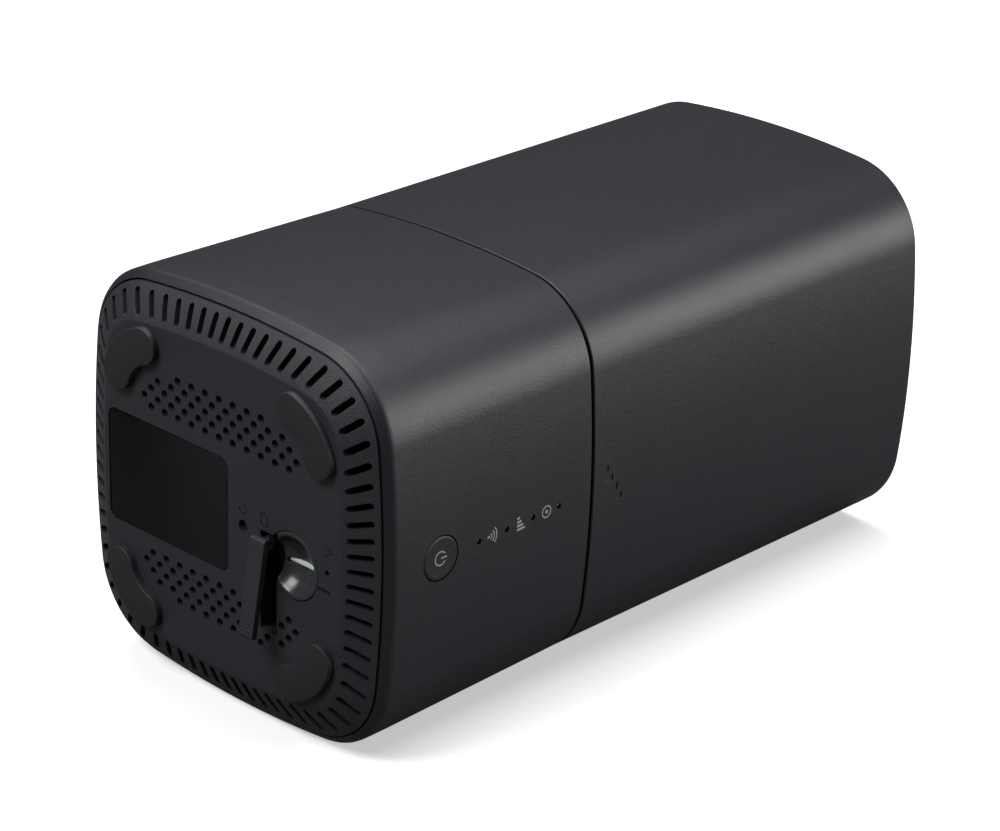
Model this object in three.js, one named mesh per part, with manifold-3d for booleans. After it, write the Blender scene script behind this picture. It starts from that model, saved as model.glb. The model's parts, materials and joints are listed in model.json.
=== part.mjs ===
// A tower-shaped mobile hotspot (a 5G home router) lying on its side, in millimetres, +Z up.
// The tower's axis runs along +X: the base with its rubber feet faces -X and the closed top faces +X.
// -Y is the front, with the power button and four indicator lights; +Y is the rear, with the sockets.
// The origin lies on the side it rests on, in the middle of the straight band behind the rim.
// Inside the tower group, y and z are measured from the tower's axis.
import * as THREE from 'three';
import { mergeVertices } from 'three/addons/utils/BufferGeometryUtils.js';
import Module from 'manifold-3d';

const wasm = await Module();
wasm.setup();

// ---- driving dimensions ----
const gap = 0.3; // clearance between pieces that touch
const bodyWidth = 104.8; // across the flats at the seam
const cornerRadius = 22.4;
const sideRadius = 295; // the four sides bulge slightly
const sideFacets = 5; // odd, so that a flat facet lies in the middle of each side
const cornerFacets = 7;
const towerLength = 197.9; // rim of the lower shell to the closed top
const lowerLength = 69.2; // rim to the seam
const flare = 1.15; // the lower shell widens this much, each side, towards the base
const rimBand = 8; // straight stretch behind the rim, which the tower rests on
const seamGap = 0.9;
const wall = 2.3;
const topWall = 2.6;
const topRounding = 1.4;
const rimRounding = 1.6;
const rimLip = 1.2; // how far the bevelled rim stands past x = 0

const coverThickness = 2;
const coverDepth = 5.9; // rim plane to the flat face of the base cover
const skirtDepth = 5;
const skirtWall = 1.6;
const bevelInset = 11.3; // edge of the shell to the edge of the flat face
const slotCount = 72;
const slotWidth = 1.75;
const slotOuterInset = 3.9;
const slotInnerInset = 10.2;

const ventRadius = 1.1;
const ventPitch = 4.9;
const ventRowStep = 2.45;
const ventFirstRow = 19.7;
const ventRowCounts = [11, 12, 11, 10, 7];
const ventLand = 0.6; // least wall between a vent and the door bay

const footHeight = 1.8;
const footWidth = 9.4;
const footEdge = 1.5; // flat face's edge to the foot's outer edge
const footSweep = THREE.MathUtils.degToRad(28); // each way from the diagonal

const labelLength = 43.2;
const labelWidth = 29.6;
const labelEnd = -2.8; // y of the label's end near the middle
const labelThickness = 0.4;
const labelRecess = 0.8;

const doorWidth = 5;
const doorLength = 25.4;
const doorThickness = 1.8;
const doorRounding = 1;
const doorCentre = -17.4; // y of the door's middle
const doorTop = 0.5; // z of its upper end when it is closed
const doorGap = 0.35;
const doorOut = 3.8; // how far the door is pulled out
const doorTilt = THREE.MathUtils.degToRad(9.5);
const pivotDepth = 2.2; // outer face of the door to its hinge axis
const pivotInset = 1.5; // end of the door to its hinge axis
const lugRadius = 1.4;
const lugThickness = 1;
const pivotPinRadius = 0.6;
const strapWidth = 1.4;
const strapThickness = 2;
const strapLength = 18;
const strapHead = 1.2;
const bayDepth = 6.2;
const bayWall = 1;

const scoopCentre = { y: -25.8, z: -4.8 };
const scoopRadius = 7.4;
const scoopDepth = 4.4;
const bezelWall = 1.2;
const bezelFloor = 0.6;
const latchSlot = { end: -38.7, z: -7.4, height: 1.1, depth: 1.2 };
const pinHole = { y: -37.6, z: -2.4, radius: 0.8 };

const cardWidth = 12;
const cardLength = 15;
const cardThickness = 0.8;
const cardCentre = { y: -27.1, z: -5.6 };
const cardProud = 0.8; // card's edge above the floor of the scoop
const cardGap = 0.25;
const cardPress = 1.2; // room behind the card for the push that frees it
const socketWall = 0.7;
const boardThickness = 1.6;

const resetCentre = { y: -8.5, z: -0.5 };
const resetHoleRadius = 1.6;
const resetRecess = 1.3;
const resetTravel = 0.5;
const resetFlange = 0.8;

const buttonRadius = 5.6;
const buttonX = 15.7;
const buttonTravel = 0.6;
const buttonThickness = 2.6;
const buttonFlange = 0.8;
const lensRadius = 0.55;
const lensXs = [28.75, 38.4, 47.7, 57];
const frontBoardDepth = 9.5; // outside of the shell to the front board
const frontBoardWidth = 16;
const switchHeight = 2.2;

const railSize = 8;
const railInset = 11.75; // flat face's edge to the middle of a rail
const railHeadroom = 13.9; // rails' ends to the closed top
const frameThickness = 3;
const frontFrameXs = [18, 62];
const backFrameInsets = [69, 19]; // rails' ends to the last two frames
const screwHeadRadius = 2.6;
const screwSeat = 1.45; // depth of the pocket that the head sits in
const screwShankRadius = 1.3;
const screwLength = 9;

const boardEndInset = 23; // rails' ends to the main board's end
const boardStart = 13;
const shieldHeight = 2.3;
const sinkBase = 3;
const finHeight = 16;
const finThickness = 1.6;
const finCount = 9;
const sinkEndInset = 25; // main board's end to the heat sink's end
const sinkStart = 16;

const antennaThickness = 1;
const antennaLength = 66;
const antennaWidth = 40;

const panelThickness = 1.8;
const portOpening = { x0: 11, x1: 53, width: 56 };
const panelOverlap = 3;
const jackWidth = 16;
const jackHeight = 13.4;
const jackMouth = { width: 11.8, height: 8.4, depth: 14 };
const jackX = 32;
const jackZs = [-17, 1];
const inletZ = 18.5;
const inletSize = 11;
const inletRadius = 3.2;
const inletPinRadius = 0.8;
const inletDepth = 10;

// ---- worked out from them ----
const half = bodyWidth / 2;
const baseX = -coverDepth; // flat face of the base cover
const plateBack = baseX + coverThickness;
const seamX = lowerLength;
const flatHalf = half + flare - bevelInset; // half size of the flat face
const railCentre = flatHalf - railInset;
const railEnd = towerLength - railHeadroom;
const frameXs = [...frontFrameXs, ...backFrameInsets.map((inset) => railEnd - inset)];
const boardLength = railEnd - boardEndInset - boardStart;
const sinkLength = boardStart + boardLength - sinkEndInset - sinkStart;
const sideCentre = half - sideRadius;
const cornerCentre = (sideCentre + Math.sqrt(2 * (sideRadius - cornerRadius) ** 2 - sideCentre ** 2)) / 2;
const sideAngle = Math.atan2(cornerCentre, cornerCentre - sideCentre);

// ---- solids ----
function solid(geometry) {
  const plain = geometry.index ? geometry.toNonIndexed() : geometry.clone();
  plain.deleteAttribute('normal');
  plain.deleteAttribute('uv');
  const merged = mergeVertices(plain, 1e-4);
  return new wasm.Manifold(new wasm.Mesh({
    numProp: 3,
    vertProperties: new Float32Array(merged.attributes.position.array),
    triVerts: new Uint32Array(merged.index.array),
  }));
}

function toGeometry(manifold) {
  const mesh = manifold.getMesh();
  const geometry = new THREE.BufferGeometry();
  geometry.setAttribute('position', new THREE.BufferAttribute(new Float32Array(mesh.vertProperties), 3));
  geometry.setIndex(new THREE.BufferAttribute(new Uint32Array(mesh.triVerts), 1));
  geometry.computeVertexNormals();
  return geometry;
}

function box(x0, x1, y0, y1, z0, z1) {
  const geometry = new THREE.BoxGeometry(x1 - x0, y1 - y0, z1 - z0);
  geometry.translate((x0 + x1) / 2, (y0 + y1) / 2, (z0 + z1) / 2);
  return solid(geometry);
}

// A cylinder along 'x' or 'y' from a to b; centre holds its other two coordinates in x, y, z order.
function cylinder(axis, radius, a, b, centre, facets = 16) {
  const geometry = new THREE.CylinderGeometry(radius, radius, b - a, facets);
  if (axis === 'x') geometry.rotateZ(-Math.PI / 2);
  const middle = (a + b) / 2;
  if (axis === 'x') geometry.translate(middle, centre[0], centre[1]);
  else geometry.translate(centre[0], middle, centre[1]);
  return solid(geometry);
}

function joinAll(solids) {
  return solids.reduce((sum, next) => sum.add(next));
}

// Extrudes a shape drawn in (y, z) from x0 to x1.
function prism(shape, x0, x1, curveSegments = 8) {
  const geometry = new THREE.ExtrudeGeometry(shape, { depth: x1 - x0, bevelEnabled: false, curveSegments });
  geometry.applyMatrix4(new THREE.Matrix4().set(0, 0, 1, x0, 1, 0, 0, 0, 0, 1, 0, 0, 0, 0, 0, 1));
  return solid(geometry);
}

// The tower's section: four bulging sides and four round corners, moved inwards by inset.
function outline(inset) {
  const points = [];
  for (let quarter = 0; quarter < 4; quarter += 1) {
    const turn = (quarter * Math.PI) / 2;
    const put = (y, z) => points.push(new THREE.Vector2(
      y * Math.cos(turn) - z * Math.sin(turn),
      y * Math.sin(turn) + z * Math.cos(turn),
    ));
    for (let i = 0; i <= sideFacets; i += 1) {
      const angle = sideAngle * ((2 * i) / sideFacets - 1);
      const radius = sideRadius - inset;
      put(sideCentre + radius * Math.cos(angle), radius * Math.sin(angle));
    }
    for (let i = 1; i < cornerFacets; i += 1) {
      const angle = sideAngle + ((Math.PI / 2 - 2 * sideAngle) * i) / cornerFacets;
      const radius = cornerRadius - inset;
      put(cornerCentre + radius * Math.cos(angle), cornerCentre + radius * Math.sin(angle));
    }
  }
  return points;
}

// A solid through the outline at each station [x, inset], in order of x.
function loft(stations) {
  const base = outline(0);
  const geometry = new THREE.ExtrudeGeometry(new THREE.Shape(base), {
    depth: stations.length - 1, steps: stations.length - 1, bevelEnabled: false,
  });
  const rings = stations.map(([, inset]) => outline(inset));
  const position = geometry.attributes.position;
  for (let i = 0; i < position.count; i += 1) {
    const at = new THREE.Vector2(position.getX(i), position.getY(i));
    const station = Math.round(position.getZ(i));
    const nearest = base.reduce(
      (best, point, k) => (point.distanceTo(at) < base[best].distanceTo(at) ? k : best), 0,
    );
    const point = rings[station][nearest];
    position.setXYZ(i, stations[station][0], point.x, point.y);
  }
  return solid(geometry);
}

// ---- materials ----
function plastic(color, roughness = 0.7) {
  return () => new THREE.MeshStandardMaterial({ color, roughness, metalness: 0 });
}

function metal(color, roughness = 0.35) {
  return () => new THREE.MeshStandardMaterial({ color, roughness, metalness: 1 });
}

const shellPlastic = plastic(0x2b2b2e);
const basePlastic = plastic(0x2e2e32, 0.75);
const footRubber = plastic(0x25272a, 0.85);
const innerPlastic = plastic(0x17181a, 0.6);
const boardGreen = plastic(0x124a35, 0.5);
const tinPlate = metal(0xb8bcc0);
const aluminium = metal(0xc4c7ca, 0.4);

const tower = new THREE.Group();

function place(name, manifold, material, parent = tower) {
  const mesh = new THREE.Mesh(toGeometry(manifold), material());
  mesh.name = name;
  parent.add(mesh);
  return mesh;
}

// ---- outer shells ----
const shellY = (x) => half + flare * Math.min(1, (seamX - x) / (seamX - rimBand)); // at mid side

function upperShell() {
  const start = seamX + seamGap / 2;
  const outside = loft([
    [start, 0], [towerLength - topRounding, 0],
    [towerLength - topRounding * 0.3, topRounding * 0.3], [towerLength, topRounding],
  ]);
  const inside = loft([[start - 1, wall], [towerLength - topWall, wall]]);
  return outside.subtract(inside);
}

function lowerShell() {
  const end = seamX - seamGap / 2;
  const outside = loft([
    [-rimLip, wall - gap - flare], [0, 1.1 - flare], [rimRounding * 0.4, 0.35 - flare],
    [rimRounding, -flare], [rimBand, -flare], [end, 0],
  ]);
  const inside = loft([[-rimLip - 1, wall - flare], [rimBand, wall - flare], [end + 1, wall]]);
  const { x0, x1, width } = portOpening;
  return outside
    .subtract(inside)
    .subtract(cylinder('y', buttonRadius + gap, -half - 5, 0, [buttonX, 0], 32))
    .subtract(joinAll(lensXs.map((x) => cylinder('y', lensRadius + gap, -half - 5, 0, [x, 0], 10))))
    .subtract(box(x0, x1, 0, half + 5, -width / 2, width / 2));
}

function seamCollar() {
  const reach = 6;
  const inset = wall + gap;
  const thickness = 1.6;
  const outside = loft([[seamX - reach, inset], [seamX + reach, inset]]);
  return outside.subtract(loft([[seamX - reach - 1, inset + thickness], [seamX + reach + 1, inset + thickness]]));
}

// ---- base cover ----
const rimStation = ([x, inset]) => [x, inset - flare];
const skirtInset = wall + gap;

const bay = {
  y0: doorCentre - doorWidth / 2 - doorGap,
  y1: doorCentre + doorWidth / 2 + doorGap,
  z0: doorTop - doorLength - doorGap,
  z1: doorTop + doorGap,
};

// Vent centres: two staggered grids, without those that would break into the door bay.
function ventCentres() {
  const centres = [];
  const keep = ventRadius + ventLand;
  for (const side of [1, -1]) {
    ventRowCounts.forEach((count, row) => {
      for (let i = 0; i < count; i += 1) {
        const y = (i - (count - 1) / 2) * ventPitch;
        const z = side * (ventFirstRow + row * ventRowStep);
        const besideBay = y < bay.y0 - keep || y > bay.y1 + keep || z < bay.z0 - keep || z > bay.z1 + keep;
        if (besideBay) centres.push([y, z]);
      }
    });
  }
  return centres;
}

function ringSlots() {
  const blades = [];
  for (let i = 0; i < slotCount / 2; i += 1) {
    const blade = new THREE.BoxGeometry(2 * coverDepth, bodyWidth * 1.5, slotWidth);
    blade.rotateX((i * 2 * Math.PI) / slotCount);
    blades.push(solid(blade));
  }
  const reach = 2 * coverDepth;
  const band = loft([rimStation([-reach, slotOuterInset]), rimStation([reach, slotOuterInset])])
    .subtract(loft([rimStation([-reach - 1, slotInnerInset]), rimStation([reach + 1, slotInnerInset])]));
  return joinAll(blades).intersect(band);
}

const screwCentres = [[1, 1], [-1, 1], [-1, -1], [1, -1]].map(([a, b]) => [a * railCentre, b * railCentre]);

function latchGroove() {
  const { end, z, height, depth } = latchSlot;
  return box(baseX - 1, baseX + depth, end, scoopCentre.y - scoopRadius + 1, z - height / 2, z + height / 2);
}

function baseCover() {
  const outside = loft([
    [baseX, bevelInset], [baseX + 1.6, 6.9], [-rimLip - gap, skirtInset], [skirtDepth, skirtInset],
  ].map(rimStation));
  const inside = loft([
    [plateBack, bevelInset + 0.6], [0.3, skirtInset + skirtWall], [skirtDepth + 1, skirtInset + skirtWall],
  ].map(rimStation));
  const vents = joinAll(ventCentres().map((at) => cylinder('x', ventRadius, baseX - 1, plateBack + 1, at, 6)));
  const label = box(
    baseX - 1, baseX + labelRecess, labelEnd - gap, labelEnd + labelLength + gap,
    -labelWidth / 2 - gap, labelWidth / 2 + gap,
  );
  const screwHoles = joinAll(screwCentres.flatMap((at) => [
    cylinder('x', screwShankRadius + gap, baseX - 1, plateBack + 1, at, 12),
    cylinder('x', screwHeadRadius + gap, baseX - 1, baseX + screwSeat, at, 12),
  ]));
  const throughs = joinAll([
    cylinder('x', scoopRadius + bezelWall + gap, baseX - 1, plateBack + 1, [scoopCentre.y, scoopCentre.z], 32),
    cylinder('x', resetHoleRadius, baseX - 1, plateBack + 1, [resetCentre.y, resetCentre.z], 12),
    cylinder('x', pinHole.radius, baseX - 1, plateBack + 1, [pinHole.y, pinHole.z], 8),
    box(baseX - 1, plateBack + 1, bay.y0, bay.y1, bay.z0, bay.z1),
  ]);
  const standoffs = joinAll(standoffYs.map((y) => box(
    plateBack - 0.1, boardStartX - gap, y - 2, y + 2, simBoardZ - boardThickness, simBoardZ,
  )));
  return outside
    .subtract(inside)
    .subtract(ringSlots())
    .subtract(vents)
    .subtract(label)
    .subtract(screwHoles)
    .subtract(throughs)
    .add(standoffs)
    .subtract(latchGroove());
}

function labelPlate() {
  const corner = 2.5;
  const shape = new THREE.Shape();
  const y1 = labelEnd + labelLength;
  const w = labelWidth / 2;
  shape.moveTo(y1, -w);
  shape.lineTo(y1, w);
  shape.lineTo(labelEnd + corner, w);
  shape.absarc(labelEnd + corner, w - corner, corner, Math.PI / 2, Math.PI, false);
  shape.absarc(labelEnd + corner, corner - w, corner, Math.PI, 1.5 * Math.PI, false);
  return prism(shape, baseX + 0.1, baseX + 0.1 + labelThickness, 4);
}

// A foot is a bent bar with round ends, following one corner of the flat face.
function foot(signY, signZ) {
  const outer = cornerRadius + flare - bevelInset - footEdge + 8;
  const middle = outer - footWidth / 2;
  const centre = flatHalf - footEdge - outer;
  const end = footWidth / 2;
  const from = Math.PI / 4 - footSweep;
  const to = Math.PI / 4 + footSweep;
  const shape = new THREE.Shape();
  shape.absarc(centre, centre, outer, from, to, false);
  shape.absarc(centre + middle * Math.cos(to), centre + middle * Math.sin(to), end, to, to + Math.PI, false);
  shape.absarc(centre, centre, middle - end, to, from, true);
  shape.absarc(
    centre + middle * Math.cos(from), centre + middle * Math.sin(from), end, from + Math.PI, from + 2 * Math.PI, false,
  );
  const turned = shape.getPoints(5).map((p) => new THREE.Vector2(signY * p.x, signZ * p.y));
  if (signY * signZ < 0) turned.reverse();
  return prism(new THREE.Shape(turned), baseX - footHeight, baseX - 0.05);
}

function baseScrew([y, z]) {
  const head = baseX + gap;
  const seat = baseX + screwSeat - gap;
  const socket = cylinder('x', screwShankRadius * 0.6, head - 1, head + 0.5, [y, z], 6);
  return cylinder('x', screwHeadRadius, head, seat, [y, z], 12)
    .add(cylinder('x', screwShankRadius, head + 0.1, head + screwLength, [y, z], 8))
    .subtract(socket);
}

// ---- card door, its strap and its bay ----
const pivot = { y: doorCentre, z: doorTop - pivotInset };
const pivotClosedX = baseX + pivotDepth;

function doorBay() {
  const x0 = plateBack + gap;
  const floor = baseX + bayDepth;
  const outer = box(x0, floor + bayWall, bay.y0 - bayWall, bay.y1 + bayWall, bay.z0 - bayWall, bay.z1 + bayWall);
  const bezelReach = scoopRadius + bezelWall + gap;
  const strapRoom = box(
    floor - 1, floor + bayWall + 1, doorCentre - strapWidth / 2 - gap, doorCentre + strapWidth / 2 + gap,
    pivot.z - strapThickness / 2 - gap, pivot.z + strapThickness / 2 + gap,
  );
  return outer
    .subtract(box(x0 - 1, floor, bay.y0, bay.y1, bay.z0, bay.z1))
    .subtract(box(x0 - 1, floor + bayWall + 1, bay.y0 - bayWall - 1, bay.y0,
      scoopCentre.z - bezelReach, bay.z1 + bayWall + 1))
    .subtract(strapRoom);
}

// The strap slides out of the bay and carries the hinge pin. x is measured from the hinge axis.
function doorStrap() {
  const w = strapWidth / 2;
  const t = strapThickness / 2;
  const lugOutside = w + gap + lugThickness;
  return joinAll([
    box(0, strapLength, -w, w, -t, t),
    cylinder('y', t, -w, w, [0, 0], 12),
    cylinder('y', pivotPinRadius, -lugOutside, lugOutside, [0, 0], 12),
    box(strapLength - strapHead, strapLength, -2 * w, 2 * w, -t - 0.8, t + 0.8),
  ]);
}

// The door hangs on the strap's pin by two lugs. Coordinates are measured from the hinge axis.
function cardDoor() {
  const top = pivotInset;
  const bottom = pivotInset - doorLength;
  const front = -pivotDepth;
  const back = doorThickness - pivotDepth;
  const r = doorRounding;
  const profile = new THREE.Shape();
  profile.moveTo(front, top - r);
  profile.absarc(front + r, top - r, r, Math.PI, Math.PI / 2, true);
  profile.lineTo(back, top);
  profile.lineTo(back, bottom);
  profile.lineTo(front + r * 0.5, bottom);
  profile.absarc(front + r * 0.5, bottom + r * 0.5, r * 0.5, 1.5 * Math.PI, Math.PI, true);
  const bar = new THREE.ExtrudeGeometry(profile, { depth: doorWidth, bevelEnabled: false, curveSegments: 4 });
  bar.rotateX(Math.PI / 2); // the profile's second coordinate becomes z
  bar.translate(0, doorWidth / 2, 0);
  const lug = (y0) => cylinder('y', lugRadius, y0, y0 + lugThickness, [0, 0], 16)
    .add(box(back - 0.1, 0, y0, y0 + lugThickness, -lugRadius, lugRadius));
  const inside = strapWidth / 2 + gap;
  const relief = box(back - gap, back + 1, -inside, inside, -lugRadius, strapThickness);
  return solid(bar)
    .add(lug(inside))
    .add(lug(-inside - lugThickness))
    .subtract(cylinder('y', pivotPinRadius + 0.15, -doorWidth, doorWidth, [0, 0], 12))
    .subtract(cylinder('y', strapThickness / 2 + gap, -inside, inside, [0, 0], 12))
    .subtract(relief);
}

// ---- card, scoop and socket ----
const scoopFloor = baseX + scoopDepth;
const bezelBack = scoopFloor + bezelFloor;
const boardStartX = baseX + bayDepth + bayWall + gap;
const simBoardZ = cardCentre.z - cardThickness / 2 - gap - socketWall - gap;
const standoffYs = [-5, -36.5];
const cardFront = scoopFloor - cardProud;

function scoopBezel() {
  const { y, z } = scoopCentre;
  const r = (scoopRadius ** 2 + scoopDepth ** 2) / (2 * scoopDepth);
  const dish = new THREE.SphereGeometry(r, 24, 14);
  dish.rotateZ(Math.PI / 2);
  dish.translate(scoopFloor - r, y, z);
  const w = cardWidth / 2 + cardGap;
  const t = cardThickness / 2 + cardGap;
  return cylinder('x', scoopRadius + bezelWall, baseX, bezelBack, [y, z], 32)
    .subtract(solid(dish))
    .subtract(box(baseX - 1, bezelBack + 1, cardCentre.y - w, cardCentre.y + w, cardCentre.z - t, cardCentre.z + t))
    .subtract(box(baseX - 1, bezelBack + 1, bay.y0 - gap, 0, -half, half))
    .subtract(latchGroove());
}

function simCard() {
  const w = cardWidth / 2;
  const cut = 2;
  const shape = new THREE.Shape([
    new THREE.Vector2(0, -w), new THREE.Vector2(cardLength - cut, -w), new THREE.Vector2(cardLength, cut - w),
    new THREE.Vector2(cardLength, w), new THREE.Vector2(0, w),
  ]);
  const geometry = new THREE.ExtrudeGeometry(shape, { depth: cardThickness, bevelEnabled: false });
  geometry.translate(cardFront, cardCentre.y, cardCentre.z - cardThickness / 2);
  return solid(geometry);
}

function simSocket() {
  const w = cardWidth / 2 + gap;
  const t = cardThickness / 2 + gap;
  const end = cardFront + cardLength + cardPress + gap;
  const { y, z } = cardCentre;
  const shell = box(
    boardStartX, end + socketWall, y - w - socketWall, y + w + socketWall, z - t - socketWall, z + t + socketWall,
  );
  return shell.subtract(box(boardStartX - 1, end, y - w, y + w, z - t, z + t));
}

const simBoardEnds = { x1: cardFront + cardLength + 4, y0: standoffYs[1] - 2, y1: standoffYs[0] + 2 };

function simBoard() {
  const { x1, y0, y1 } = simBoardEnds;
  return box(boardStartX, x1, y0, y1, simBoardZ - boardThickness, simBoardZ);
}

// ---- reset button and switch ----
const resetFront = baseX + resetRecess;
const resetBack = plateBack + gap + resetFlange + 2.6;
const resetSwitchX = resetBack + resetTravel + gap;

function resetButton() {
  const at = [resetCentre.y, resetCentre.z];
  return joinAll([
    cylinder('x', resetHoleRadius - gap, resetFront, resetBack, at, 12),
    cylinder('x', resetHoleRadius + 0.6, plateBack + gap, plateBack + gap + resetFlange, at, 12),
  ]);
}

function resetSwitch() {
  const x0 = Math.max(resetSwitchX, boardStartX);
  const { y, z } = resetCentre;
  return box(x0, x0 + 4, y - 2.5, y + 2.5, simBoardZ + gap, z + 1.6);
}

// ---- power button, switch, lights and their board ----
const frontBoardY = -(half + flare) + frontBoardDepth; // outer face of the board
const switchFace = frontBoardY - gap - switchHeight;

function powerButton() {
  const face = -shellY(buttonX);
  const inside = face + wall + gap; // just inside the shell
  return joinAll([
    cylinder('y', buttonRadius, face, face + buttonThickness, [buttonX, 0], 32),
    cylinder('y', buttonRadius + 1, inside, inside + buttonFlange, [buttonX, 0], 32),
    cylinder('y', 1.6, face + 1, switchFace - buttonTravel - gap, [buttonX, 0], 12),
  ]);
}

function powerSwitch() {
  const s = 3.1;
  return box(buttonX - s, buttonX + s, switchFace, frontBoardY - gap, -s, s);
}

function lightLens(x) {
  const face = -shellY(x) + gap;
  return cylinder('y', lensRadius, face, frontBoardY - gap, [x, 0], 10);
}

function frontBoard() {
  const end = lensXs[lensXs.length - 1] + 6;
  const start = buttonX - buttonRadius;
  const w = frontBoardWidth / 2;
  return box(start - 4, end, frontBoardY, frontBoardY + boardThickness, -w, w);
}

// ---- chassis and what it carries ----
function chassis() {
  const h = railSize / 2;
  const pieces = screwCentres.map(([y, z]) => box(plateBack + gap, railEnd, y - h, y + h, z - h, z + h));
  const outer = railCentre + h;
  const inner = railCentre - h;
  for (const x of frameXs) {
    const plate = box(x, x + frameThickness, -outer, outer, -outer, outer);
    pieces.push(plate.subtract(box(x - 1, x + frameThickness + 1, -inner, inner, -inner, inner)));
  }
  for (const x of frameXs.slice(0, 2)) {
    pieces.push(box(x, x + frameThickness, frontBoardY + boardThickness + gap, -outer + 1, -6, 6));
  }
  const pilots = screwCentres.map((at) => cylinder('x', screwShankRadius + gap, plateBack, screwLength + 2, at, 10));
  return joinAll(pieces).subtract(joinAll(pilots));
}

const railInside = railCentre - railSize / 2;
const boardFace = railInside - 2 * gap; // rear face of the main board
const boardBack = boardFace - boardThickness;
const boardHalf = railInside - gap;

function mainBoard() {
  return box(boardStart, boardStart + boardLength, boardBack, boardFace, -boardHalf, boardHalf);
}

function shield(x0, x1, width) {
  return box(x0, x1, boardBack - gap - shieldHeight, boardBack - gap, -width / 2, width / 2);
}

function heatSink() {
  const top = boardBack - 2 * gap - shieldHeight;
  const width = 2 * (boardHalf - 2);
  const x1 = sinkStart + sinkLength;
  const pieces = [box(sinkStart, x1, top - sinkBase, top, -width / 2, width / 2)];
  for (let i = 0; i < finCount; i += 1) {
    const z = -width / 2 + ((width - finThickness) * i) / (finCount - 1);
    pieces.push(box(sinkStart, x1, top - sinkBase - finHeight, top - sinkBase + 0.1, z, z + finThickness));
  }
  return joinAll(pieces);
}

// An antenna panel on the outside of the chassis: side 0 faces +Y, 1 +Z, 2 -Y, 3 -Z.
function antenna(side) {
  const face = railCentre + railSize / 2 + gap;
  const x0 = frameXs[2] - 5;
  const panel = new THREE.BoxGeometry(antennaLength, antennaThickness, antennaWidth);
  panel.translate(x0 + antennaLength / 2, face + antennaThickness / 2, 0);
  panel.rotateX((side * Math.PI) / 2);
  return solid(panel);
}

function topAntenna() {
  const w = railCentre;
  return box(railEnd + gap, railEnd + gap + boardThickness, -w, w, -w, w);
}

// ---- rear sockets ----
const panelEdge = portOpening.width / 2 + panelOverlap;
const innerSag = sideRadius - wall - Math.sqrt((sideRadius - wall) ** 2 - panelEdge ** 2);
const panelFace = half - wall - innerSag - gap;
const jackDepth = panelFace - boardFace - gap;

function portPanel() {
  const { x0, x1 } = portOpening;
  const cut = (z, w, h) => box(
    jackX - h / 2 - gap, jackX + h / 2 + gap, 0, half, z - w / 2 - gap, z + w / 2 + gap,
  );
  return box(x0 - panelOverlap, x1 + panelOverlap, panelFace - panelThickness, panelFace, -panelEdge, panelEdge)
    .subtract(joinAll(jackZs.map((z) => cut(z, jackWidth, jackHeight))))
    .subtract(cut(inletZ, inletSize, inletSize));
}

function ethernetJack(z) {
  const { width, height, depth } = jackMouth;
  const y0 = boardFace + gap;
  const latch = 3.2;
  return box(jackX - jackHeight / 2, jackX + jackHeight / 2, y0, y0 + jackDepth, z - jackWidth / 2, z + jackWidth / 2)
    .subtract(box(jackX - height / 2, jackX + height / 2, panelFace - depth, half, z - width / 2, z + width / 2))
    .subtract(box(jackX, jackX + height / 2 + 1.4, panelFace - depth, half, z - latch, z + latch));
}

function powerInlet() {
  const y0 = boardFace + gap;
  const s = inletSize / 2;
  return box(jackX - s, jackX + s, y0, y0 + jackDepth, inletZ - s, inletZ + s)
    .subtract(cylinder('y', inletRadius, panelFace - inletDepth, half, [jackX, inletZ], 16))
    .add(cylinder('y', inletPinRadius, panelFace - inletDepth - 0.5, panelFace - 1, [jackX, inletZ], 8));
}

// ---- assembly ----
place('upper_shell', upperShell(), shellPlastic);
place('lower_shell', lowerShell(), shellPlastic);
place('seam_collar', seamCollar(), innerPlastic);
place('base_cover', baseCover(), basePlastic);
place('label_plate', labelPlate(), plastic(0x0c0c0d, 0.35));
[[1, 1], [-1, 1], [-1, -1], [1, -1]].forEach(([a, b], i) => place(`foot_${i + 1}`, foot(a, b), footRubber));
screwCentres.forEach((at, i) => place(`base_screw_${i + 1}`, baseScrew(at), metal(0x8a8d90)));

place('sim_bay', doorBay(), innerPlastic);
const doorCarrier = new THREE.Group();
doorCarrier.position.set(pivotClosedX - doorOut, pivot.y, pivot.z);
tower.add(doorCarrier);
place('door_strap', doorStrap(), innerPlastic, doorCarrier);
place('sim_door', cardDoor(), basePlastic, doorCarrier).rotation.y = doorTilt;
place('scoop_bezel', scoopBezel(), plastic(0x6d7074, 0.25));
place('sim_card', simCard(), plastic(0xe8ece9, 0.4));
place('sim_socket', simSocket(), tinPlate);
place('sim_board', simBoard(), boardGreen);
place('reset_button', resetButton(), innerPlastic);
place('reset_switch', resetSwitch(), tinPlate);

place('power_button', powerButton(), plastic(0x2b2b2e, 0.55));
place('power_switch', powerSwitch(), tinPlate);
lensXs.forEach((x, i) => place(`light_lens_${i + 1}`, lightLens(x), plastic(0x111214, 0.3)));
place('front_board', frontBoard(), boardGreen);

place('chassis', chassis(), innerPlastic);
place('main_board', mainBoard(), boardGreen);
place('processor_shield', shield(32, 60, 34), tinPlate);
place('modem_shield', shield(74, 112, 40), tinPlate);
place('heat_sink', heatSink(), aluminium);
for (let side = 0; side < 4; side += 1) place(`antenna_${side + 1}`, antenna(side), plastic(0xb9a05a, 0.4));
place('top_antenna', topAntenna(), plastic(0xb9a05a, 0.4));

place('port_panel', portPanel(), innerPlastic);
jackZs.forEach((z, i) => place(`ethernet_jack_${i + 1}`, ethernetJack(z), tinPlate));
place('power_inlet', powerInlet(), plastic(0x101112, 0.5));

// The tower rests on the lowest facet of its rim band, which holds the origin.
const lowest = Math.min(...outline(-flare).map((point) => point.y));
const part = new THREE.Group();
tower.position.set(-(rimRounding + rimBand) / 2, 0, -lowest);
part.add(tower);

export default part;
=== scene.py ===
import json
import math

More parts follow.
